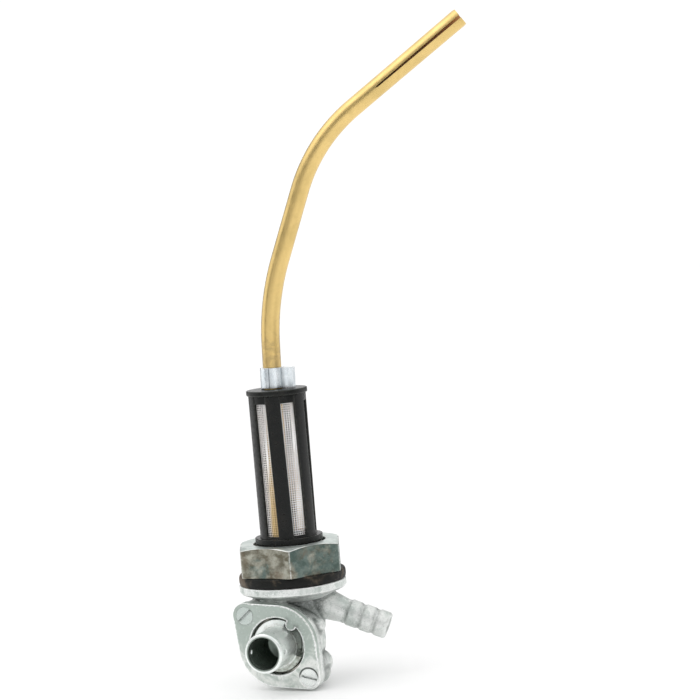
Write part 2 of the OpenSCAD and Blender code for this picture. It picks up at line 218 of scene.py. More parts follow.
def lathe(name, profile, steps):
    """Turn a closed outline of (radius, height) points about Z."""
    bm = bmesh.new()
    angles = [2 * math.pi * i / steps for i in range(steps)]
    join_rings(bm, [[bm.verts.new(on_circle(r, a, z)) for r, z in profile] for a in angles])
    return bmesh_object(name, bm)


def rounded(points, radius, steps=4):
    """Round the corners of a closed outline, each by at most the radius."""
    result = []
    for i, here in enumerate(points):
        p, a, b = Vector(here), Vector(points[i - 1]), Vector(points[(i + 1) % len(points)])
        to_a, to_b = a - p, b - p
        reach = min(radius, CORNER_SHARE * to_a.length, CORNER_SHARE * to_b.length)
        start, end = p + to_a.normalized() * reach, p + to_b.normalized() * reach
        for k in range(steps + 1):
            t = k / steps
            result.append(tuple((1 - t) ** 2 * start + 2 * t * (1 - t) * p + t ** 2 * end))
    return result


def place(obj, body, material, slot, *nodes):
    """Give a piece its material, its body and the CAD nodes that it stands for."""
    obj.data.materials.clear()
    obj.data.materials.append(material)
    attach(obj, body)
    if nodes:
        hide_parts(*nodes)
    return obj


def dress(node, material):
    """Give a CAD node that keeps its own shape a better material."""
    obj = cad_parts[node]
    obj.data.materials.clear()
    obj.data.materials.append(material)


# ---------- Material helpers ----------

def scaled(colour, by):
    """A colour made darker or lighter."""
    return tuple(c * by for c in colour)


class Paint:
    """A material's node tree, with short calls for the nodes that the materials share."""

    def __init__(self, name, **shader):
        self.material = bpy.data.materials.new(name)
        self.material.use_nodes = True
        self.tree = self.material.node_tree
        self.shader = self.tree.nodes["Principled BSDF"]
        for key, value in shader.items():
            self.shader.inputs[key.replace("_", " ")].default_value = value
        self.place = self.tree.nodes.new("ShaderNodeTexCoord").outputs["Object"]
        self.height = None

    def link(self, source, target):
        """Join two sockets."""
        self.tree.links.new(source, target)

    def node(self, kind, **values):
        """Add one node with its settings."""
        made = self.tree.nodes.new(kind)
        for key, value in values.items():
            setattr(made, key, value)
        return made

    def mapped(self, per_mm, stretch=(1, 1, 1), where=None):
        """Places scaled so that one step is a feature's size."""
        mapping = self.node("ShaderNodeMapping")
        mapping.inputs["Scale"].default_value = [s / MM * per_mm for s in stretch]
        self.link(where or self.place, mapping.inputs["Vector"])
        return mapping.outputs[0]

    def noise(self, per_mm, detail=3, rough=0.55, stretch=(1, 1, 1), warp=0.0, where=None):
        """Noise with so many features per millimetre."""
        made = self.node("ShaderNodeTexNoise")
        made.inputs["Scale"].default_value = 1.0
        made.inputs["Detail"].default_value = detail
        made.inputs["Roughness"].default_value = rough
        made.inputs["Distortion"].default_value = warp
        self.link(self.mapped(per_mm, stretch, where), made.inputs["Vector"])
        return made.outputs["Fac"]

    def cells(self, per_mm):
        """Distance to scattered points, so many per millimetre."""
        made = self.node("ShaderNodeTexVoronoi")
        made.inputs["Scale"].default_value = 1.0
        self.link(self.mapped(per_mm), made.inputs["Vector"])
        return made.outputs["Distance"]

    def remap(self, value, low, high, to_low=0.0, to_high=1.0):
        """Stretch part of a value's range over another range."""
        made = self.node("ShaderNodeMapRange", interpolation_type="SMOOTHSTEP")
        for key, number in (("From Min", low), ("From Max", high), ("To Min", to_low), ("To Max", to_high)):
            made.inputs[key].default_value = number
        self.link(value, made.inputs["Value"])
        return made.outputs["Result"]

    def maths(self, operation, a, b):
        """Arithmetic on two values, either of them a plain number."""
        made = self.node("ShaderNodeMath", operation=operation)
        for socket, value in zip(made.inputs, (a, b)):
            if isinstance(value, (int, float)):
                socket.default_value = value
            else:
                self.link(value, socket)
        return made.outputs[0]

    def along(self, axis, low, high):
        """How far a point lies between two places, in millimetres, along one axis."""
        split = self.node("ShaderNodeSeparateXYZ")
        self.link(self.place, split.inputs[0])
        return self.remap(split.outputs[axis], low * MM, high * MM)

    def mark(self, name, low, high, ragged=0.0):
        """A stored mark, its edge made ragged by noise."""
        value = self.node("ShaderNodeAttribute", attribute_name=name).outputs["Fac"]
        if ragged:
            value = self.maths("ADD", value, self.remap(self.noise(1.4, 4, 0.65), 0.3, 0.7, -ragged, ragged))
        return self.remap(value, low, high)

    def mix(self, factor, a, b):
        """Blend two colours, each a socket or an (r, g, b)."""
        made = self.node("ShaderNodeMix", data_type="RGBA")
        colour_a, colour_b = 6, 7
        self.link(factor, made.inputs["Factor"])
        for key, value in ((colour_a, a), (colour_b, b)):
            if isinstance(value, tuple):
                made.inputs[key].default_value = (*value, 1)
            else:
                self.link(value, made.inputs[key])
        return made.outputs[2]

    def over(self, body, mask, strength, colour):
        """Lay a colour over the body where a mask is, no more strongly than the strength."""
        return self.mix(self.maths("MULTIPLY", mask, strength), body, colour)

    def colour(self, value):
        """Set the surface's colour."""
        self.link(value, self.shader.inputs["Base Color"])

    def rough(self, value):
        """Set the surface's roughness."""
        self.link(value, self.shader.inputs["Roughness"])

    def bump(self, value, depth, strength):
        """Add relief of so many millimetres; further calls stack on it."""
        made = self.node("ShaderNodeBump")
        made.inputs["Distance"].default_value = depth * MM
        made.inputs["Strength"].default_value = strength
        self.link(value, made.inputs["Height"])
        if self.height is not None:
            self.link(self.height, made.inputs["Normal"])
        self.height = made.outputs["Normal"]
        self.link(self.height, self.shader.inputs["Normal"])


# ---------- Materials ----------

def cast_zinc(name, light, dark, grain, base_rough, edge, painted_top_shade=0.0):
    """Satin die-cast zinc: soft blotches that painted shade can darken upwards, fine grain, small pits,
    edges rubbed bright with painted highlight, green-grey painted shade in the corners, and painted shade
    where a stored mark asks."""
    paint = Paint(name, Metallic=0.72)
    # Painted shade: the blotches darken towards the top, under the flange, and lighten low down
    top_shade_from, top_shade_to = -27.0, -10.0
    top_shade = paint.maths("MULTIPLY", paint.along("Z", top_shade_from, top_shade_to), painted_top_shade)
    blotch = paint.remap(paint.maths("ADD", paint.noise(0.2, 5, 0.62, warp=0.8), top_shade), 0.42, 0.72)
    speck = paint.remap(paint.noise(2.2, 3), 0.48, 0.72)
    bright = paint.remap(paint.noise(1.5, 3, 0.6), 0.58, 0.7)
    pits = paint.maths("MULTIPLY", paint.remap(paint.cells(0.9), 0.04, 0.15, 1.0, 0.0),
                       paint.remap(paint.noise(0.5, 2), 0.5, 0.6))
    body = paint.mix(blotch, light, dark)
    body = paint.over(body, speck, 0.3 * grain, scaled(dark, 0.7))
    body = paint.over(body, bright, 0.55 * grain, (0.93, 0.94, 0.93))
    body = paint.over(body, pits, 0.6, scaled(dark, 0.4))
    # Painted shade: inner corners darkened green-grey, with some stain
    body = paint.over(body, paint.mark("corner_shade_and_grime", 0.2, 0.95, 0.14), 0.75, scaled(dark, 0.38))
    # Painted highlight: standing edges turned near-white, partly real rubbing
    body = paint.over(body, paint.mark("wear_and_highlight", 0.35, 0.95, 0.2), edge, (0.96, 0.97, 0.96))
    # Painted shade from a stored mark: under the flange and round the lower screw
    paint.colour(paint.mix(paint.mark("painted_shade", 0.2, 0.7, 0.08), body, scaled(dark, 0.25)))
    paint.rough(paint.remap(paint.noise(0.8, 4), 0.25, 0.8, base_rough - 0.06, base_rough + 0.14))
    paint.bump(paint.noise(0.5, 4, 0.6), 0.09 * grain, 0.5)
    paint.bump(paint.noise(2.6, 3, 0.6), 0.03 * grain, 0.5)
    paint.bump(paint.maths("MULTIPLY", pits, -1.0), 0.06, 0.6)
    return paint.material


def turned_zinc():
    """Machined zinc of the valve: fine rings round its axis, painted shade in its bore and on its shoulder's
    low side, and painted shade with brown stain in its corners.
    """
    paint = Paint("zinc_turned", Metallic=0.8)
    rings = paint.noise(2.6, 3, 0.6, stretch=(0.12, 1, 0.12))
    tone = paint.remap(paint.noise(0.3, 4, 0.6, warp=0.5), 0.35, 0.7)
    body = paint.mix(tone, (0.95, 0.98, 0.96), (0.84, 0.89, 0.86))
    # Painted shade in inner corners, broken up by noise, with brown stain
    stain = paint.maths("MULTIPLY", paint.mark("corner_shade_and_grime", 0.2, 1.0, 0.25),
                        paint.remap(paint.noise(0.8, 5, 0.7), 0.42, 0.62))
    body = paint.over(body, stain, 0.45, (0.34, 0.31, 0.26))
    # Painted highlight on standing edges, partly real rubbing
    body = paint.over(body, paint.mark("wear_and_highlight", 0.55, 1.0, 0.15), 0.25, (0.95, 0.96, 0.95))
    # Painted shade on the shoulder's low side, in streaks
    streak = paint.remap(paint.noise(0.9, 5, 0.7), 0.38, 0.62)
    shoulder_shade = paint.mix(streak, (0.30, 0.31, 0.27), (0.52, 0.57, 0.52))
    body = paint.mix(paint.mark("shoulder_shade", 0.1, 0.7, 0.12), body, shoulder_shade)
    # Painted shade inside the stem's bore and on its inner lip
    paint.colour(paint.mix(paint.mark("bore", 0.0, 1.0), body, (0.20, 0.24, 0.21)))
    paint.rough(paint.remap(rings, 0.3, 0.7, 0.26, 0.38))
    paint.bump(rings, 0.01, 0.35)
    paint.bump(paint.noise(0.5, 2), 0.03, 0.3)
    return paint.material


def mottled_steel():
    """Passivated nut: olive, brown and teal mottling, a pale dressed top and thin bright edges of rubbing
    and painted highlight.
    """
    paint = Paint("nut_passivated", Metallic=0.85)
    teal_from, teal_to = 4.0, 9.0
    to_barb = paint.maths("MULTIPLY", paint.along("X", teal_from, teal_to), -0.24)
    broad = paint.remap(paint.maths("ADD", paint.noise(0.13, 4, 0.6, warp=0.6), to_barb), 0.30, 0.46)
    fine = paint.remap(paint.noise(0.34, 6, 0.62, stretch=(1, 1, 1.3), warp=0.15), 0.34, 0.68)
    teal = paint.mix(fine, (0.085, 0.122, 0.108), (0.175, 0.225, 0.205))
    olive = paint.mix(fine, (0.14, 0.13, 0.095), (0.42, 0.42, 0.355))
    body = paint.mix(broad, teal, olive)
    fleck = paint.remap(paint.noise(1.8, 4, 0.7), 0.60, 0.72)
    body = paint.over(body, fleck, 0.3, (0.60, 0.61, 0.56))
    rust = paint.remap(paint.noise(0.24, 5, 0.62, warp=0.2), 0.50, 0.72)
    body = paint.over(body, rust, 0.6, (0.19, 0.145, 0.10))
    pale = paint.mix(fine, (0.54, 0.61, 0.58), (0.72, 0.77, 0.74))
    body = paint.over(body, paint.mark("dressed", 0.3, 0.7), 0.92, pale)
    # Painted highlight on the corners, the chamfer's edge and the bottom edge, partly real rubbing
    paint.colour(paint.over(body, paint.mark("wear_and_highlight", 0.35, 0.85, 0.12), 0.8, (0.88, 0.90, 0.87)))
    paint.rough(paint.remap(paint.noise(0.9, 5, 0.7), 0.25, 0.75, 0.28, 0.50))
    paint.bump(paint.noise(0.9, 5, 0.65), 0.04, 0.6)
    paint.bump(paint.noise(3.0, 2), 0.01, 0.5)
    return paint.material


def drawn_brass():
    """Bright drawn brass tube: fine lines along it, olive tarnish, a brown stain above the clip and a dull
    brown inside."""
    paint = Paint("brass_drawn", Coat_Weight=0.35, Coat_Roughness=0.3)
    lengthwise = paint.node("ShaderNodeUVMap").outputs[0]
    lines = paint.noise(0.0011, 3, 0.6, stretch=(1.2, 260, 1), where=lengthwise)
    tarnish = paint.remap(paint.noise(0.12, 4, 0.6, warp=0.5), 0.42, 0.7)
    body = paint.mix(lines, (0.74, 0.52, 0.18), (0.90, 0.67, 0.28))
    body = paint.over(body, tarnish, 0.35, (0.52, 0.38, 0.13))
    clip_z, stain_top = 67.0, 86.0
    near_clip = paint.maths("MULTIPLY", paint.along("Z", stain_top, clip_z), 0.35)
    smudge = paint.remap(paint.maths("ADD", paint.noise(0.3, 4, 0.65, warp=0.6), near_clip), 0.70, 0.92)
    body = paint.over(body, smudge, 0.5, (0.36, 0.25, 0.12))
    inside = paint.mark("inside", 0.4, 0.9)
    paint.colour(paint.mix(inside, body, (0.55, 0.27, 0.08)))
    paint.link(paint.maths("SUBTRACT", 1.0, inside), paint.shader.inputs["Metallic"])
    paint.rough(paint.remap(paint.noise(0.35, 5, 0.7), 0.3, 0.75, 0.30, 0.44))
    paint.bump(lines, 0.012, 0.35)
    paint.bump(paint.noise(0.25, 2), 0.06, 0.25)
    return paint.material


def black_nylon():
    """Moulded black nylon: a faint orange peel, lightly scuffed edges with painted highlight and a little
    brown dust.
    """
    paint = Paint("nylon_black", Specular_IOR_Level=0.24)
    dust = paint.remap(paint.noise(0.4, 5, 0.7, stretch=(1, 1, 0.4)), 0.48, 0.78)
    body = paint.over((0.0045, 0.0055, 0.005), dust, 0.4, (0.030, 0.024, 0.018))
    # Painted highlight on the moulding's edges, partly real scuffing
    paint.colour(paint.over(body, paint.mark("wear_and_highlight", 0.4, 1.0, 0.2), 0.4, (0.075, 0.078, 0.068)))
    paint.rough(paint.remap(paint.noise(0.9, 4), 0.3, 0.75, 0.22, 0.42))
    paint.bump(paint.noise(1.6, 2), 0.012, 0.5)
    paint.bump(paint.noise(0.3, 2), 0.05, 0.3)
    return paint.material


def nylon_gauze():
    """White nylon thread, soiled in patches, with painted golden light from the brass tube behind it in one
    low patch.
    """
    paint = Paint("gauze_thread", Roughness=0.5, Specular_IOR_Level=0.4)
    soil = paint.remap(paint.noise(0.3, 4), 0.45, 0.75)
    body = paint.over((0.95, 0.93, 0.92), soil, 0.4, (0.80, 0.74, 0.70))
    # Painted light: a golden patch where the brass tube stands behind the gauze
    left_side, right_side = paint.along("X", -3.3, -1.5), paint.along("X", 4.0, 1.0)
    low_down = paint.along("Z", 44.0, 20.0)
    stain = paint.maths("MULTIPLY", paint.maths("MULTIPLY", left_side, right_side), low_down)
    paint.colour(paint.over(body, stain, 0.85, (0.80, 0.56, 0.22)))
    paint.bump(paint.noise(9.0, 2), 0.01, 0.4)
    return paint.material


def black_rubber(name, tint, bloom_and_highlight):
    """Moulded rubber with a fine matt skin and a bloom, made stronger towards -X by painted highlight."""
    paint = Paint(name, Specular_IOR_Level=0.2)
    highlight_from, highlight_to = -5.0, -13.0
    # Painted highlight: the bloom grows towards -X, the side the key light comes from
    side = paint.maths("MULTIPLY", paint.along("X", highlight_from, highlight_to), 0.26)
    patch = paint.remap(paint.maths("ADD", paint.noise(0.13, 4, 0.65, warp=0.8), side), 0.52, 0.76)
    body = paint.mix(patch, tint, bloom_and_highlight)
    scuff = paint.remap(paint.noise(1.1, 5, 0.7), 0.58, 0.75)
    paint.colour(paint.over(body, scuff, 0.35, scaled(bloom_and_highlight, 1.8)))
    paint.rough(paint.remap(paint.noise(1.2, 4), 0.3, 0.75, 0.42, 0.66))
    paint.bump(paint.noise(2.5, 3), 0.02, 0.5)
    paint.bump(paint.noise(0.4, 3), 0.08, 0.35)
    return paint.material


def plated_strip(name, light, dark, stretch, dull=None):
    """Bright zinc-plated steel with fine lines and soft blotches, duller towards -X if a dull colour is
    given."""
    paint = Paint(name, Metallic=0.9)
    lines = paint.noise(1.6, 3, 0.6, stretch=stretch)
    blotch = paint.remap(paint.noise(0.35, 3, warp=0.5), 0.35, 0.7)
    body = paint.mix(blotch, light, dark)
    if dull is not None:
        dull_from, dull_to = 4.0, -4.0
        body = paint.mix(paint.along("X", dull_from, dull_to), body, dull)
    # Painted shade in inner corners, with some stain
    body = paint.over(body, paint.mark("corner_shade_and_grime", 0.35, 1.0), 0.5, scaled(dark, 0.4))
    # Painted highlight on standing edges, partly real rubbing
    paint.colour(paint.over(body, paint.mark("wear_and_highlight", 0.4, 0.95), 0.4, (0.95, 0.96, 0.97)))
    paint.rough(paint.remap(lines, 0.3, 0.7, 0.20, 0.34))
    paint.bump(lines, 0.006, 0.35)
    return paint.material


def sprung_steel():
    """Grey spring steel with a thin brown film of oil."""
    paint = Paint("spring_oiled", Metallic=0.9)
    stain = paint.remap(paint.noise(0.6, 4, warp=0.6), 0.4, 0.7)
    paint.colour(paint.mix(stain, (0.48, 0.46, 0.40), (0.62, 0.62, 0.57)))
    paint.rough(paint.remap(paint.noise(2.0, 3), 0.3, 0.7, 0.28, 0.48))
    paint.bump(paint.noise(3.0, 2), 0.01, 0.4)
    return paint.material


# ---------- Standpipe ----------

# The route repeats the CAD's: a leaning foot, then two bends and two straights in one plane, which is
# swung backwards about the foot. A run is a length and no turn, or a bend's radius and its turn.
PIPE_R = 2.8
PIPE_WALL = 0.5
PIPE_FOOT = Vector((-3.0, 0, -3.5))
PIPE_LEAN = 1.8
PIPE_SWING = 16.0
PIPE_RUNS = ((76.0, 0.0), (78.0, 19.1), (21.6, 0.0), (50.6, 33.9), (41.9, 0.0))
PIPE_STEP = 1.0
PIPE_AROUND = 56
PIPE_END_BEVEL = 0.12
PIPE_CREASE = 50.0

# The sawn slot: its width at its root and how much it gains to the tip, both as shares of the saw's
# width, and how much the tip springs open as a share of the tube's radius
SLOT_LENGTH = 32.0
SLOT_WIDTH = 0.8
SLOT_ROOT = 0.62
SLOT_GAIN = 0.55
SLOT_SPRING = 0.035


def pipe_turns():
    """The turns that lean the standpipe's foot and swing the plane of its bends."""
    lean = Matrix.Rotation(math.radians(PIPE_LEAN), 3, "Y")
    return lean @ Matrix.Rotation(math.radians(PIPE_SWING), 3, "Z")


def pipe_route():
    """Centres and bend angles along the standpipe, and the length to each."""
    turns = pipe_turns()
    at, angle, length = PIPE_FOOT.copy(), 0.0, 0.0
    stations = [(at.copy(), angle, length)]
    for size, turn in PIPE_RUNS:
        run = size if not turn else size * math.radians(turn)
        count = math.ceil(run / PIPE_STEP)
        half = math.radians(turn) / count / 2
        for _ in range(count):
            angle += half
            at = at + turns @ Vector((math.sin(angle), 0, math.cos(angle))) * (run / count)
            angle += half
            length += run / count
            stations.append((at.copy(), angle, length))
    return stations


def pipe_ring(bm, at, angle, radius, open_by):
    """Points round the tube at one place, from one lip of the slot to the other."""
    side = pipe_turns() @ Vector((math.cos(angle), 0, -math.sin(angle)))
    front = pipe_turns() @ Vector((0, -1, 0))
    gap = math.asin(open_by / 2 / radius)
    ring = []
    for k in range(PIPE_AROUND + 1):
        a = gap + (2 * math.pi - 2 * gap) * k / PIPE_AROUND
        ring.append(bm.verts.new((at + (front * math.cos(a) + side * math.sin(a)) * radius) * MM))
    return ring


def pipe_band(bm, uv, low, high):
    """Faces of the tube's outside and inside between two places, and the slot's lips if it is open."""
    (low_rings, low_length, _), (high_rings, high_length, slotted) = low, high
    for here, there in zip(low_rings, high_rings):
        for k in range(PIPE_AROUND):
            face = bm.faces.new((here[k], here[k + 1], there[k + 1], there[k]))
            corners = ((k, low_length), (k + 1, low_length), (k + 1, high_length), (k, high_length))
            for loop, (turn, length) in zip(face.loops, corners):
                loop[uv].uv = (length, turn / PIPE_AROUND)
    if slotted:
        for k in (0, PIPE_AROUND):
            bm.faces.new((low_rings[0][k], low_rings[1][k], high_rings[1][k], high_rings[0][k]))


def make_standpipe(material):
    """Sweep the tube's wall along the route, open it at the sawn slot and spring the slot's lips apart."""
    stations = pipe_route()
    slot_start = stations[-1][2] - SLOT_LENGTH
    bm = bmesh.new()
    uv = bm.loops.layers.uv.new("UVMap")
    inside = bm.verts.layers.float.new("inside")
    rows = []
    for at, angle, length in stations:
        into = max(0.0, length - slot_start) / SLOT_LENGTH
        open_by = SLOT_WIDTH * (SLOT_ROOT + SLOT_GAIN * into) if into > 0 else 0.0
        radius = PIPE_R * (1 + SLOT_SPRING * into ** 1.5)
        bevel = PIPE_END_BEVEL if length in (0.0, stations[-1][2]) else 0.0
        outer = pipe_ring(bm, at, angle, radius - bevel, open_by)
        inner = pipe_ring(bm, at, angle, radius - PIPE_WALL + bevel, open_by)
        for v in inner:
            v[inside] = 1.0
        rows.append(((outer, inner), length, open_by > 0))
    for low, high in zip(rows, rows[1:]):
        pipe_band(bm, uv, low, high)
    for (outer, inner), _, _ in (rows[0], rows[-1]):
        for k in range(PIPE_AROUND):
            bm.faces.new((outer[k], outer[k + 1], inner[k + 1], inner[k]))
    obj = bmesh_object("standpipe_tube", bm)
    add_modifier(obj, "EDGE_SPLIT", split_angle=math.radians(PIPE_CREASE))
    bake_modifiers(obj)
    return place(obj, "body", material, "brass", "standpipe")


def make_clip(material):
    """Strip clip round the standpipe, on top of the strainer's cap."""
    obj = softened("pipe_clip", "pipe_strip", voxel=0.07, rounds=2, keep=0.35)
    return place(obj, "body", material, "clip_steel", "pipe_clip")


# ---------- Strainer ----------

# How far the thin cage is wrung from its foot to its cap, in degrees
CAGE_TWIST = 5.5

GAUZE_PITCH = 0.70
GAUZE_WAVE = 0.06
GAUZE_HEM = 0.15
THREAD_WIDTH = 0.20
THREAD_THICK = 0.11
THREAD_SECTION = ((1, 0.55), (0, 1), (-1, 0.55), (-1, -0.55), (0, -1), (1, -0.55))


def twisted(obj):
    """Wring a piece of the strainer a little about its axis, as the thin moulding is."""
    low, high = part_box("strainer_gauze")
    for v in obj.data.vertices:
        share = 0.5 - ramp(v.co.z, low.z, high.z)
        v.co = Matrix.Rotation(math.radians(CAGE_TWIST) * share, 3, "Z") @ v.co
    return obj


def make_strainer_frame(material):
    """Cage, collar and spigot as one softened moulding."""
    obj = twisted(softened("strainer_frame", "strainer_cage", voxel=0.16, rounds=2, keep=0.3))
    return place(obj, "body", material, "black_nylon", "strainer_frame")


def make_cap(material):
    """Cap with a softly rounded rim."""
    obj = softened("strainer_cap", "strainer_lid", voxel=0.14, rounds=2, keep=0.5)
    return place(obj, "body", material, "black_nylon", "strainer_cap")


def thread(bm, centres, outs, sides, closed):
    """Flat-sided thread through the centres; outs and sides are its cross-section's directions."""
    rings = []
    for centre, out, side in zip(centres, outs, sides):
        rings.append([bm.verts.new((centre + out * THREAD_THICK / 2 * b + side * THREAD_WIDTH / 2 * a) * MM)
                      for a, b in THREAD_SECTION])
    join_rings(bm, rings, closed)
    if not closed:
        bm.faces.new(rings[0])
        bm.faces.new(rings[-1])


def make_gauze(material):
    """Weave the sleeve from real threads, each passing over and under the ones across it."""
    low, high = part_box("strainer_gauze")
    mid_r = high.x / MM - GAUZE_WAVE - THREAD_THICK / 2
    bottom, top = low.z / MM + GAUZE_HEM, high.z / MM - GAUZE_HEM
    count = 2 * round(math.pi * mid_r / GAUZE_PITCH)
    rows = 2 * round((top - bottom) / GAUZE_PITCH / 2)
    row_pitch = (top - bottom) / rows
    up = Vector((0, 0, 1))
    bm = bmesh.new()
    for j in range(count):
        a = 2 * math.pi * j / count
        out, side = Vector((math.cos(a), math.sin(a), 0)), Vector((-math.sin(a), math.cos(a), 0))
        steps = range(2 * rows + 1)
        centres = [out * (mid_r + GAUZE_WAVE * math.cos(math.pi * (i / 2 + j)))
                   + up * (bottom + row_pitch * i / 2) for i in steps]
        thread(bm, centres, [out] * len(steps), [side] * len(steps), closed=False)
    for i in range(rows + 1):
        outs = [Vector((math.cos(math.pi * k / count), math.sin(math.pi * k / count), 0))
                for k in range(2 * count)]
        centres = [out * (mid_r - GAUZE_WAVE * math.cos(math.pi * (k / 2 + i)))
                   + up * (bottom + row_pitch * i) for k, out in enumerate(outs)]
        thread(bm, centres, outs, [up] * len(outs), closed=True)
    return place(twisted(bmesh_object("gauze_weave", bm)), "body", material, "gauze", "strainer_gauze")


# ---------- Valve ----------

VALVE_Z = -17.0
STEM_END = -27.1
STEM_R = 5.95
STEM_BORE_R = 4.8
STEM_BORE_L = 15.0
PLATE_OPENING_R = 9.6
BARB_START_X = 15.0
BARB_TOP_Z = -5.0

# Places of the upper and the lower screw as (x, height over the valve's axis), and their heads
SCREWS = ((-9.7, 9.35), (9.5, -9.5))
SCREW_HEAD_R = 2.7

# The plate stays sharp this far outside the screw heads, and has less rubbing and painted highlight this far
# round the upper one
SCREW_SEAT = 0.35
SCREW_CALM = 1.0
SCREW_CALM_WEAR_AND_HIGHLIGHT = 0.35

# The stem's painted shade reaches a little outside its bore and past the bore's floor, fades across the
# inner lip of the stem's end, and darkens between two depths
BORE_MARGIN = 0.3
BORE_FLOOR = 2.0
LIP_FADE = 0.25
LIP_DEPTH = 1.0
BORE_SHADE_DEPTHS = (0.4, 2.0)

# Where the painted shoulder shade sets in and is full, measured outwards from the stem
SHOULDER_SHADE_REACH = (0.1, 1.1)

# The painted shade round the lower screw: a ring just outside its head, strongest at the top
SHADE_RING = 0.25
SHADE_WIDTH = 0.45
SHADE_HEIGHTS = (-1.65, 1.35)

# The painted shade under the flange: its strength, the heights where it sets in and where it fades, and the
# places where it fades towards the barb
FLANGE_SHADE = 0.55
FLANGE_SHADE_TOP = (-4.4, -5.2)
FLANGE_SHADE_FOOT = (-13.0, -8.0)
FLANGE_SHADE_SIDE = (13.5, 9.5)

# What hoses leave of the barb's painted corner shade with stain, and of its rubbed edges with painted
# highlight
BARB_CORNER_SHADE = 0.6
BARB_WEAR_AND_HIGHLIGHT = 0.5


def bore_shade(off_axis, depth):
    """How much shade is painted at a point of the stem: in its bore, and on the inner lip of its end."""
    wall = STEM_BORE_R + BORE_MARGIN
    lip = ramp(off_axis, wall + LIP_FADE, wall) if depth < LIP_DEPTH else 0.0
    within = off_axis < wall and depth < STEM_BORE_L + BORE_FLOOR
    return max(lip, ramp(depth, *BORE_SHADE_DEPTHS) if within else 0.0)


def shoulder_shade_at(x, z, off_axis):
    """How much shade is painted at a point of the rotor: on its shoulder, most on the low side towards +X.
    """
    low_side = 0.5 + 0.5 * (x - z) / max(1.0, off_axis) / math.sqrt(2)
    return ramp(off_axis - STEM_R, *SHOULDER_SHADE_REACH) * low_side ** 2


def make_rotor(material):
    """Turned valve with its slotted shoulder, with marks for the painted shade in its bore and on its
    shoulder.
    """
    obj = softened("valve_rotor", "rotor_casting", voxel=0.15, rounds=3, keep=0.5, wear_and_highlight_to=0.3)
    bore, shoulder_shade = [], []
    for v in obj.data.vertices:
        x, depth, z = v.co.x / MM, v.co.y / MM - STEM_END, v.co.z / MM - VALVE_Z
        off_axis = math.hypot(x, z)
        bore.append(bore_shade(off_axis, depth))
        shoulder_shade.append(shoulder_shade_at(x, z, off_axis))
    # The bore mark is painted shade inside the stem
    store_mark(obj, "bore", bore)
    # The shoulder mark is painted shade
    store_mark(obj, "shoulder_shade", shoulder_shade)
    return place(obj, "valve", material, "rotor_zinc", "valve_rotor")


def plate_rim(p):
    """True on the cover plate's outer edge, away from its opening and its screws."""
    x, z = p.x, p.z - VALVE_Z
    near_screw = any(math.hypot(x - sx, z - sz) < SCREW_HEAD_R + SCREW_SEAT for sx, sz in SCREWS)
    return math.hypot(x, z) > PLATE_OPENING_R and not near_screw


def screw_shade(p):
    """How much shade is painted at a point of the cover plate, in a ring round its lower screw."""
    x, z = p.x - SCREWS[1][0], p.z - VALVE_Z - SCREWS[1][1]
    off_ring = abs(math.hypot(x, z) - SCREW_HEAD_R - SHADE_RING)
    return ramp(off_ring, SHADE_WIDTH, 0.0) * ramp(z, *SHADE_HEIGHTS)


def make_plate(material):
    """Cover plate with a rounded rim, painted shade round its lower screw, and less rubbing and painted
    highlight round its upper one.
    """
    obj = softened("cover_plate", "plate_casting", voxel=0.13, rounds=2, keep=0.6,
                   where=plate_rim, more=14, wear_and_highlight_to=0.9)
    # Painted shade in a ring round the lower screw, kept as a stored mark
    store_mark(obj, "painted_shade", [screw_shade(v.co / MM) for v in obj.data.vertices])
    upper_screw = Vector((SCREWS[0][0], VALVE_Z + SCREWS[0][1]))
    calm_r = SCREW_HEAD_R + SCREW_CALM
    fade_mark(obj, "wear_and_highlight", SCREW_CALM_WEAR_AND_HIGHLIGHT, lambda p: (p.xz - upper_screw).length < calm_r)
    return place(obj, "body", material, "plate_zinc", "cover_plate")


def make_screws(material):
    """The two slotted screws, hardly softened."""
    obj = softened("cover_screws", "plate_screws", voxel=0.07, rounds=1, keep=0.6)
    return place(obj, "body", material, "screw_steel", "cover_screws")


def on_barb(p):
    """True on the hose barb's ridges and grooves, which lie below the flange."""
    return p.x > BARB_START_X and p.z < BARB_TOP_Z


def under_flange(p):
    """How much shade is painted on a point of the valve body under its flange."""
    below, near = ramp(p.z, *FLANGE_SHADE_TOP), ramp(p.z, *FLANGE_SHADE_FOOT)
    return FLANGE_SHADE * below * near * ramp(p.x, *FLANGE_SHADE_SIDE)


def make_casting(material):
    """Valve body with a cast skin, painted shade under the flange, and softer on the barb, where hoses rub
    it.
    """
    obj = softened("tap_body", "valve_casting", voxel=0.2, rounds=3, keep=0.38,
                   where=on_barb, more=3, cast=0.09)
    fade_mark(obj, "corner_shade_and_grime", BARB_CORNER_SHADE, on_barb)
    fade_mark(obj, "wear_and_highlight", BARB_WEAR_AND_HIGHLIGHT, on_barb)
    # Painted shade under the flange, kept as a stored mark
    store_mark(obj, "painted_shade", [under_flange(v.co / MM) for v in obj.data.vertices])
    return place(obj, "body", material, "cast_zinc", "tap_body")


# ---------- Tank nut ----------

# The nut stands turned by NUT_CLOCK degrees. Its corners are cut a little short, its chamfer starts
# NUT_MARGIN outside the flats, and its bottom and top edges are rounded.
NUT_FLATS = 30.0
NUT_CLOCK = -8.6
NUT_CORNER_CUT = 0.15
NUT_CHAMFER = 0.85
NUT_MARGIN = 0.2
NUT_LOW_ROUND = 0.16
NUT_TOP_ROUND = 0.12
NUT_BORE = 10.8
NUT_MOUTH = 0.5
NUT_SIDE = math.pi / 3
NUT_AROUND = 480
NUT_TALL = 56

# The higher these are, the sharper the hexagon's corners and the chamfer's edge
CORNER_POWER = 48
CHAMFER_POWER = 110

# A side turned further away than this cosine never bounds the hexagon
SIDE_ON = 0.05

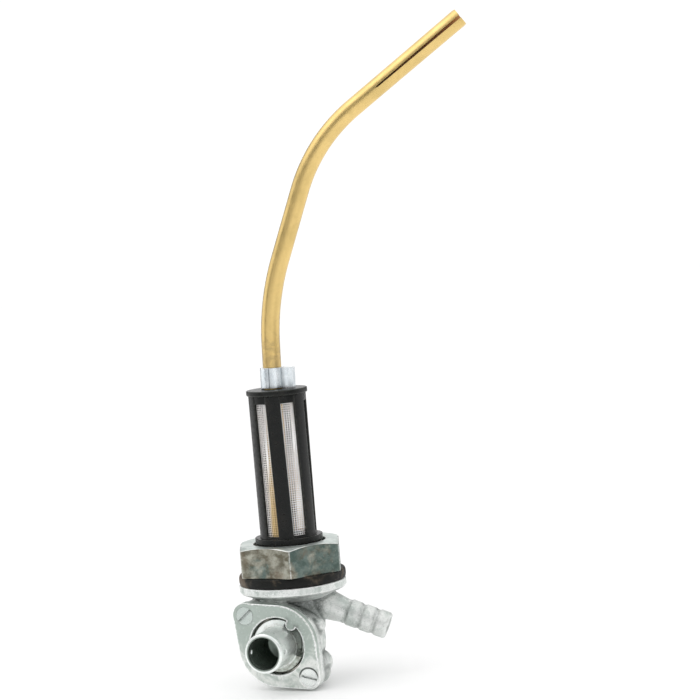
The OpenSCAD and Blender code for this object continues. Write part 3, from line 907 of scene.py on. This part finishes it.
# Rings that keep the bottom face flat (inwards from its edge) and the top face even (as shares of it)
LOW_RING = 0.5
TOP_RINGS = (0.1, 0.35, 0.65, 0.9)

# How strongly the corners and the bottom edge are rubbed and lit by painted highlight, and how fast a
# corner's mark fades
CORNER_WEAR_AND_HIGHLIGHT = 0.75
CORNER_FADE = 1.25
LOW_WEAR_AND_HIGHLIGHT = 0.8


def soft_least(values, power):
    """The least of some lengths with the change-over rounded, and each one's share in it."""
    parts = [value ** -power for value in values]
    whole = sum(parts)
    return whole ** (-1 / power), [part / whole for part in parts]


def hexagon():
    """Radius of the nut's sides all round, and how near each point is to a corner."""
    sides, corners = [], []
    for i in range(NUT_AROUND):
        a = 2 * math.pi * i / NUT_AROUND - math.radians(NUT_CLOCK) - NUT_SIDE / 2
        facing = [math.cos(a - k * NUT_SIDE) for k in range(6)]
        reach, shares = soft_least([NUT_FLATS / 2 / c for c in facing if c > SIDE_ON], CORNER_POWER)
        sides.append(reach)
        corners.append(max(0.0, 1 - abs(1 - 2 * max(shares)) * CORNER_FADE))
    return sides, corners


def edge_fall(depth, radius):
    """How near a rounded edge is at a depth from its face, and how far the edge has fallen back."""
    near = max(0.0, 1 - depth / radius)
    return near, radius * (1 - math.sqrt(max(0.0, 1 - near ** 2)))


def nut_row(z, bottom, top, sides, corners):
    """Height, radii, rubbing with painted highlight, and dressing of the nut's outside at one height."""
    flat = NUT_FLATS / 2
    corner = flat / math.cos(NUT_SIDE / 2) - NUT_CORNER_CUT
    edge = flat + NUT_MARGIN + (top - z) * (corner - flat - NUT_MARGIN) / NUT_CHAMFER
    low_lip, low_fall = edge_fall(z - bottom, NUT_LOW_ROUND)
    _, top_fall = edge_fall(top - z, NUT_TOP_ROUND)
    radii, worn_and_lit, plane = [], [], []
    for side, corner_mark in zip(sides, corners):
        reach, (on_side, on_chamfer) = soft_least((side, edge), CHAMFER_POWER)
        radii.append(reach - low_fall - top_fall)
        # The chamfer's lower edge gets a painted highlight line
        meeting = 4 * on_side * on_chamfer
        worn_and_lit.append(max(CORNER_WEAR_AND_HIGHLIGHT * corner_mark * (1 - on_chamfer), meeting, LOW_WEAR_AND_HIGHLIGHT * low_lip))
        plane.append(on_chamfer)
    return z, radii, worn_and_lit, plane


def make_nut(material):
    """Hexagon with rounded corners and a turned chamfer on top; marks its rubbed edges, lit by painted
    highlight, and its dressed top.
    """
    low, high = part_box("tank_nut")
    bottom, top = low.z / MM, high.z / MM
    sides, corners = hexagon()
    none, whole = [0.0] * NUT_AROUND, [1.0] * NUT_AROUND
    bore, mouth = [NUT_BORE] * NUT_AROUND, [NUT_BORE + NUT_MOUTH] * NUT_AROUND
    rows = [(bottom, bore, none, none), (bottom, [r - LOW_RING for r in sides], none, none)]
    for i in range(NUT_TALL + 1):
        z = bottom + (top - bottom) * (0.5 - 0.5 * math.cos(math.pi * i / NUT_TALL))
        rows.append(nut_row(z, bottom, top, sides, corners))
    rim = rows[-1][1]
    for share in TOP_RINGS:
        rows.append((top, [r + (m - r) * share for r, m in zip(rim, mouth)], none, whole))
    rows += [(top, mouth, whole, whole), (top - NUT_MOUTH, bore, none, none)]
    bm = bmesh.new()
    wear_and_highlight = bm.verts.layers.float.new("wear_and_highlight")
    dressed = bm.verts.layers.float.new("dressed")
    rings = []
    for z, radii, worn_and_lit, plane in rows:
        ring = [bm.verts.new(on_circle(r, 2 * math.pi * i / NUT_AROUND, z)) for i, r in enumerate(radii)]
        for v, worn_and_lit_here, plane_here in zip(ring, worn_and_lit, plane):
            v[wear_and_highlight], v[dressed] = worn_and_lit_here, plane_here
        rings.append(ring)
    join_rings(bm, rings)
    return place(bmesh_object("nut_hexagon", bm), "nut", material, "nut_steel", "tank_nut")


# ---------- Tank gasket ----------

# Its outside leans in above and below two creases. Waves of a height, a number and a phase, less a fixed
# draw, say how far the nut's pressure moves it; only points beyond GASKET_OUTSIDE move.
GASKET_HOLE = 11.05
GASKET_CREASE = 0.9
GASKET_LOW_LEAN = 0.25
GASKET_TOP_LEAN = 0.3
GASKET_ROUND = 0.45
GASKET_OUTSIDE = 15.0
GASKET_WAVES = ((0.06, 3, 0.7), (0.05, 7, 0.0))
GASKET_DRAW = 0.06


def make_gasket(material):
    """Rubber ring, its outside drawn in unevenly where the nut squeezes it."""
    low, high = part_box("tank_gasket")
    r, h = high.x / MM, high.z / MM
    outline = [(GASKET_HOLE, 0.0), (r - GASKET_LOW_LEAN, 0.0), (r, GASKET_CREASE),
               (r, h - GASKET_CREASE), (r - GASKET_TOP_LEAN, h), (GASKET_HOLE, h)]
    obj = lathe("gasket_ring", rounded(outline, GASKET_ROUND), steps=160)
    for v in obj.data.vertices:
        a = math.atan2(v.co.y, v.co.x)
        reach = math.hypot(v.co.x, v.co.y) / MM
        if reach > GASKET_OUTSIDE:
            give = sum(size * math.sin(count * a + phase) for size, count, phase in GASKET_WAVES)
            scale = (reach + min(0.0, give - GASKET_DRAW)) / reach
            v.co.x *= scale
            v.co.y *= scale
    return place(obj, "gasket", material, "gasket_rubber", "tank_gasket")


# ---------- Stage ----------

# The camera stands in front of the stem and to its right; angles are in degrees, lengths in millimetres
VIEW_AZIMUTH = 21.0
VIEW_ELEVATION = 3.85
VIEW_ROLL = 4.74
VIEW_DISTANCE = 683.0
VIEW_TARGET = Vector((0, 0, 55.0))
VIEW_RIGHT = 22.02
VIEW_UP = 15.55
LENS = 115.66
SENSOR = 36.0

# From here on, lengths are in metres
CLIP_NEAR = 0.01
CLIP_FAR = 20
FLOOR_SIZE = 6.0
FLOOR_GAP = 0.0005
WORLD_STRENGTH = 1.06
KEY_SPOT = (-0.45, -0.35, 1.0)
KEY_SIZE = (0.9, 0.9)
KEY_POWER = 1.9
AIM = (0, 0, 0.05)

# Each card's place, size and grey
CARDS = {
    "card_left": ((-0.75, -0.75, 0.12), (0.45, 0.9), 0.14),
    "card_right": ((0.95, -0.15, 0.12), (0.7, 0.9), 0.13),
    "card_front": ((0.15, -1.1, 0.45), (1.6, 0.7), 0.25),
    "card_back_left": ((-0.70, 0.57, 0.12), (0.4, 0.9), 0.10),
    "card_back_right": ((0.14, 0.89, 0.12), (0.4, 0.9), 0.10),
}


def camera_axes():
    """The camera's right, up and back directions, with its roll."""
    a, e, r = (math.radians(x) for x in (VIEW_AZIMUTH, VIEW_ELEVATION, VIEW_ROLL))
    right = Vector((math.cos(a), math.sin(a), 0))
    back = Vector((math.sin(a) * math.cos(e), -math.cos(a) * math.cos(e), math.sin(e)))
    up = back.cross(right)
    rolled_right = right * math.cos(r) - up * math.sin(r)
    rolled_up = right * math.sin(r) + up * math.cos(r)
    return rolled_right, rolled_up, back


def make_camera():
    """Camera with a long lens."""
    right, up, back = camera_axes()
    data = bpy.data.cameras.new("camera")
    data.lens = LENS
    data.sensor_width = SENSOR
    data.clip_start = CLIP_NEAR
    data.clip_end = CLIP_FAR
    camera = to_object("camera", data)
    turn = Matrix((right, up, back)).transposed()
    spot = VIEW_TARGET + right * VIEW_RIGHT + up * VIEW_UP + back * VIEW_DISTANCE
    camera.matrix_world = Matrix.Translation(spot * MM) @ turn.to_4x4()
    bpy.context.scene.camera = camera


def flat_sheet(name, size, level=0.0):
    """One level rectangle."""
    bm = bmesh.new()
    for x, y in ((-1, -1), (1, -1), (1, 1), (-1, 1)):
        bm.verts.new((x * size[0] / 2, y * size[1] / 2, level))
    bm.faces.new(bm.verts)
    return bmesh_object(name, bm, smooth=False)


def aim_at_part(obj, spot):
    """Put a light or a card at a spot, facing the part."""
    obj.location = spot
    obj.rotation_euler = (Vector(AIM) - Vector(spot)).to_track_quat("-Z", "Y").to_euler()


def make_floor():
    """Pale floor just under the tap."""
    floor = flat_sheet("floor", (FLOOR_SIZE, FLOOR_SIZE), cad_box[0].z - FLOOR_GAP)
    paint = Paint("floor_white", Roughness=0.9)
    paint.colour(paint.mix(paint.noise(0.02, 3), (0.95, 0.95, 0.95), (0.97, 0.97, 0.97)))
    floor.data.materials.append(paint.material)


def make_card(name, spot, size, grey):
    """A dark card out of sight that gives the metal something to reflect."""
    card = flat_sheet(name, size)
    aim_at_part(card, spot)
    card.visible_camera = False
    card.visible_shadow = False
    card.visible_diffuse = False
    paint = Paint(name + "_card", Roughness=1.0)
    paint.colour(paint.mix(paint.noise(0.001, 2), (grey,) * 3, (grey * 1.1,) * 3))
    card.data.materials.append(paint.material)


def make_lights():
    """White surroundings, a soft key light from above, and the cards."""
    world = bpy.data.worlds.new("studio")
    world.use_nodes = True
    background = world.node_tree.nodes["Background"]
    background.inputs["Color"].default_value = (1, 1, 1, 1)
    background.inputs["Strength"].default_value = WORLD_STRENGTH
    bpy.context.scene.world = world
    bpy.context.scene.view_settings.view_transform = "Standard"
    data = bpy.data.lights.new("key", "AREA")
    data.shape = "RECTANGLE"
    data.size, data.size_y = KEY_SIZE
    data.energy = KEY_POWER
    aim_at_part(to_object("key", data), KEY_SPOT)
    for name, (spot, size, grey) in CARDS.items():
        make_card(name, spot, size, grey)


# ---------- Assembly ----------

make_camera()
make_floor()
make_lights()

zinc_body = cast_zinc("zinc_cast", (0.79, 0.81, 0.79), (0.51, 0.56, 0.53),
                      grain=1.3, base_rough=0.46, edge=0.7)
zinc_plate = cast_zinc("zinc_plate", (0.80, 0.82, 0.79), (0.43, 0.49, 0.45),
                       grain=0.5, base_rough=0.38, edge=1.0, painted_top_shade=0.34)
clip_steel = plated_strip("clip_plated", (0.84, 0.89, 0.92), (0.68, 0.74, 0.78), stretch=(1, 1, 0.1))
screw_steel = plated_strip("screw_plated", (0.82, 0.85, 0.83), (0.66, 0.70, 0.68),
                           stretch=(0.3, 1, 0.3), dull=(0.52, 0.58, 0.55))
plug_metal = plated_strip("plug_pressed", (0.66, 0.67, 0.68), (0.5, 0.5, 0.52), stretch=(1, 1, 1))
rubber = black_rubber("rubber_black", (0.006, 0.006, 0.006), (0.016, 0.015, 0.014))
gasket_rubber = black_rubber("rubber_gasket", (0.006, 0.007, 0.006), (0.105, 0.080, 0.055))
nylon = black_nylon()

make_casting(zinc_body)
make_plate(zinc_plate)
make_rotor(turned_zinc())
make_nut(mottled_steel())
make_screws(screw_steel)
make_clip(clip_steel)
make_gasket(gasket_rubber)
make_strainer_frame(nylon)
make_cap(nylon)
make_gauze(nylon_gauze())
make_standpipe(drawn_brass())
dress("passage_plug", plug_metal)
dress("valve_packing", rubber)
dress("rotor_o_ring", rubber)
dress("wave_washer", sprung_steel())
dress("neck_seal", rubber)
dress("pipe_bush", rubber)
